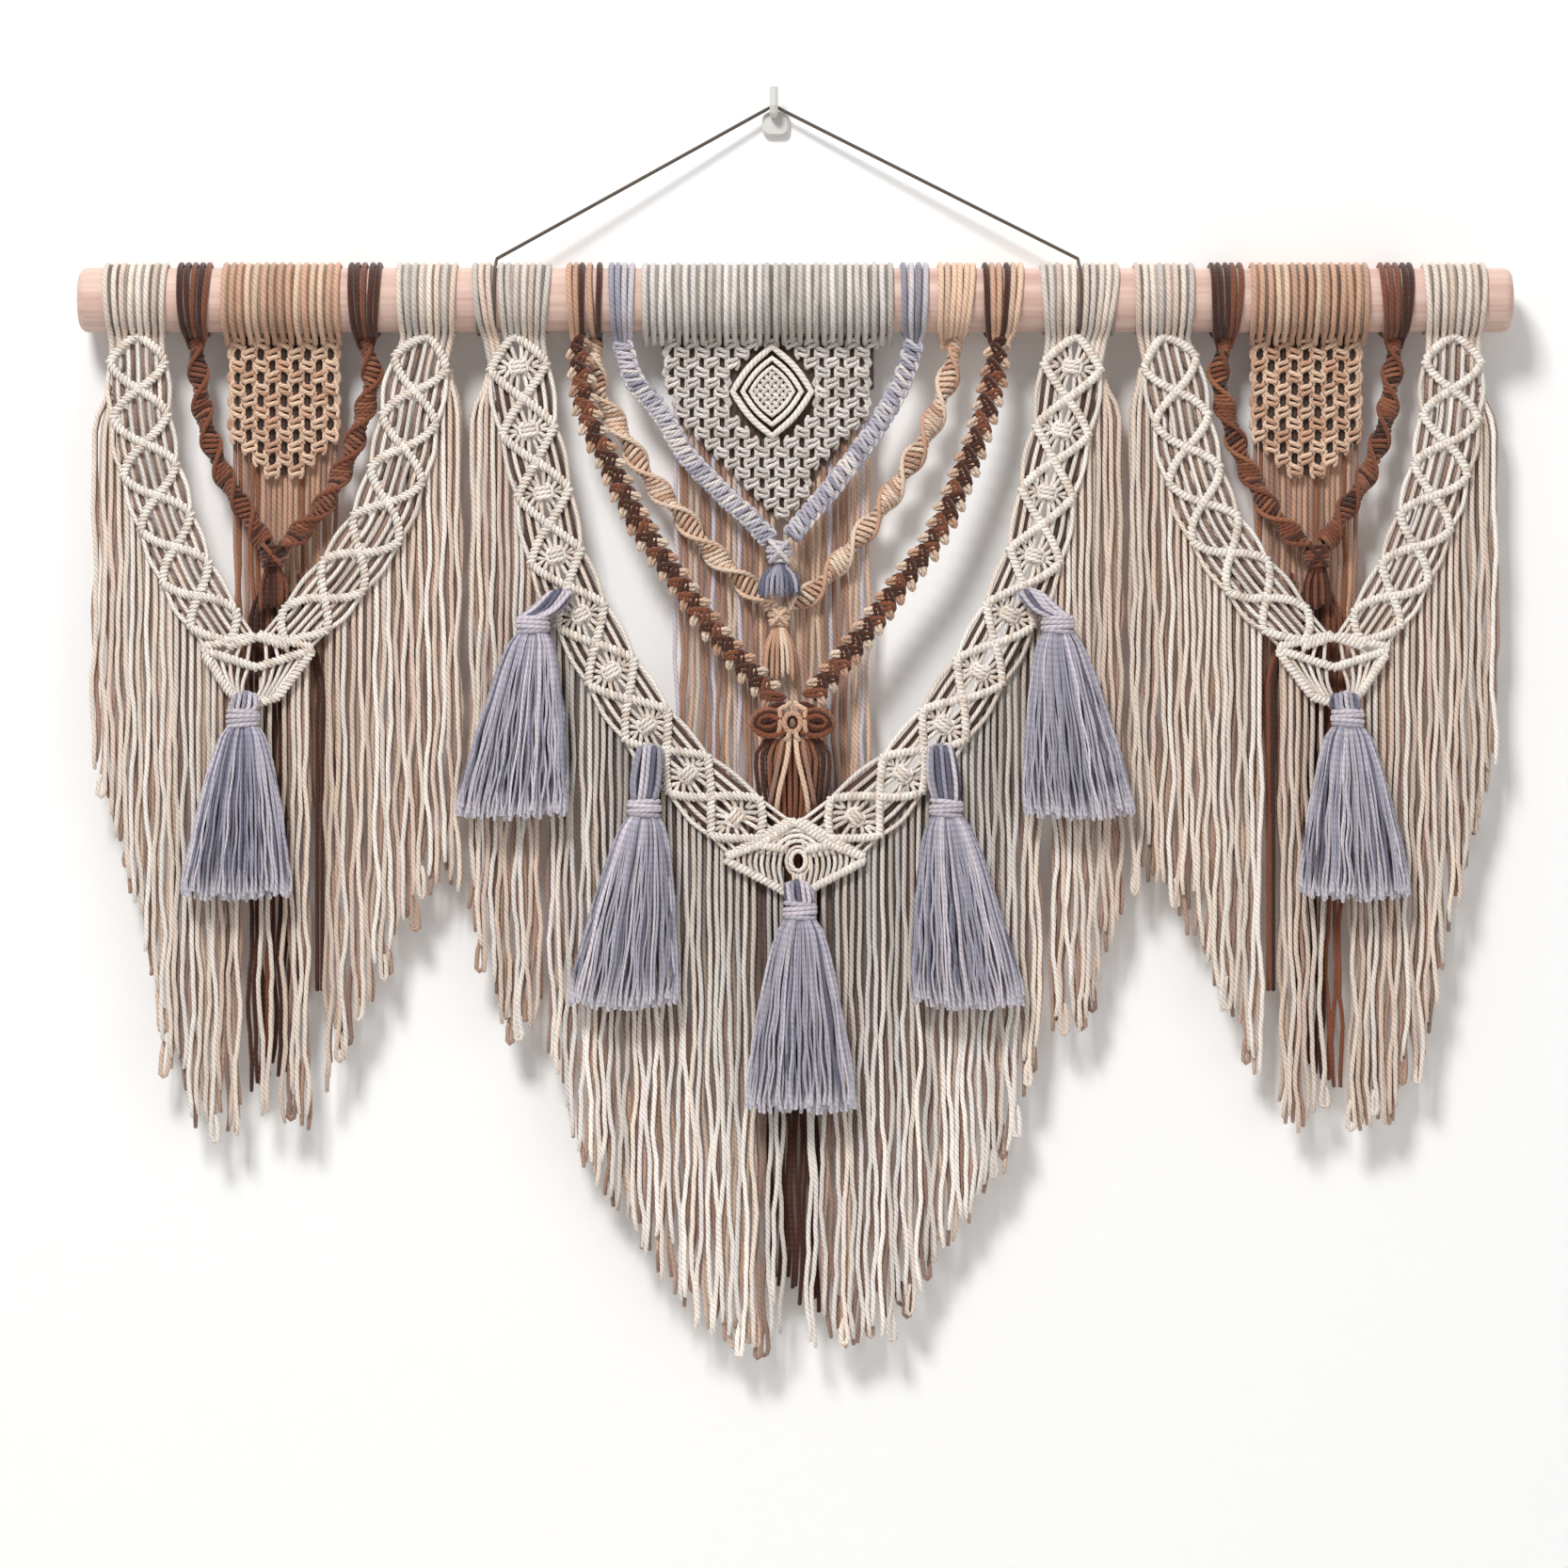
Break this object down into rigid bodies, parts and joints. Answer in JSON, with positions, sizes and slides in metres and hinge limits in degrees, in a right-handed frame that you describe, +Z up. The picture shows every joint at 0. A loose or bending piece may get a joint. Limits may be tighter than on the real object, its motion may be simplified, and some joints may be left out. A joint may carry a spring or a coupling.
{
  "type": "macrame wall hanging on a rod with a wall hook",
  "caption": "Knotted-cord macrame wall hanging with lattice swags, sinnets, long fringes and tassels, on a round wooden rod that hangs by a string from a small wall hook.",
  "frame": {"origin": "on the wall, at the back of the hook's base, level with the peg that the string lies on", "axes": "+X along the rod to the right as seen from the room, +Y into the wall, +Z up"},
  "size_m": [0.8, 0.0483, 0.7124],
  "materials": {
    "rod_wood": "sanded, matt",
    "hook_plastic": "semi-gloss",
    "string": "twisted thin string",
    "cream_cord": "soft twisted cotton cord",
    "off_white_cord": "soft twisted cotton cord",
    "tan_cord": "soft twisted cotton cord",
    "brown_cord": "soft twisted cotton cord",
    "brown_tan_cord": "two colours of soft twisted cotton cord",
    "blue_white_cord": "soft twisted cotton cord",
    "blue_grey_cord": "soft untwisted cotton strands",
    "pink_tan_cord": "soft twisted cotton cord"
  },
  "bodies": {
    "root": {"rod": "rod_wood", "wall_hook": "hook_plastic", "hanging_string": "string", "outer_strap_left": "cream_cord", "outer_strap_right": "cream_cord", "inner_strap_left": "cream_cord", "inner_strap_right": "cream_cord", "centre_strap_left": "cream_cord", "centre_strap_right": "cream_cord", "swag_tip_left": "cream_cord", "swag_tip_right": "cream_cord", "swag_tip_centre": "cream_cord", "outer_fringe_left": "cream_cord", "outer_fringe_right": "cream_cord", "inner_fringe_left": "cream_cord", "inner_fringe_right": "cream_cord", "upper_fringe_left": "cream_cord", "upper_fringe_right": "cream_cord", "centre_fringe_left": "cream_cord", "centre_fringe_right": "cream_cord", "tan_panel_left": "tan_cord", "tan_panel_right": "tan_cord", "tan_fringe_left": "tan_cord", "tan_fringe_right": "tan_cord", "outer_spiral_left": "brown_cord", "outer_spiral_right": "brown_cord", "inner_spiral_left": "brown_cord", "inner_spiral_right": "brown_cord", "brown_knot_left": "brown_cord", "brown_knot_right": "brown_cord", "brown_fringe_left": "brown_cord", "brown_fringe_right": "brown_cord", "centre_panel": "off_white_cord", "panel_fringe_left": "pink_tan_cord", "panel_fringe_right": "pink_tan_cord", "blue_sinnet_left": "blue_white_cord", "blue_sinnet_right": "blue_white_cord", "blue_knot": "blue_white_cord", "tan_sinnet_left": "tan_cord", "tan_sinnet_right": "tan_cord", "tan_knot": "tan_cord", "chain_left": "brown_tan_cord", "chain_right": "brown_tan_cord", "bow_knot": "brown_cord", "bow_fringe": "brown_cord", "outer_tassel_left": "blue_grey_cord", "outer_tassel_right": "blue_grey_cord", "upper_tassel_left": "blue_grey_cord", "upper_tassel_right": "blue_grey_cord", "lower_tassel_left": "blue_grey_cord", "lower_tassel_right": "blue_grey_cord", "centre_tassel": "blue_grey_cord"}
  },
  "joints": []
}
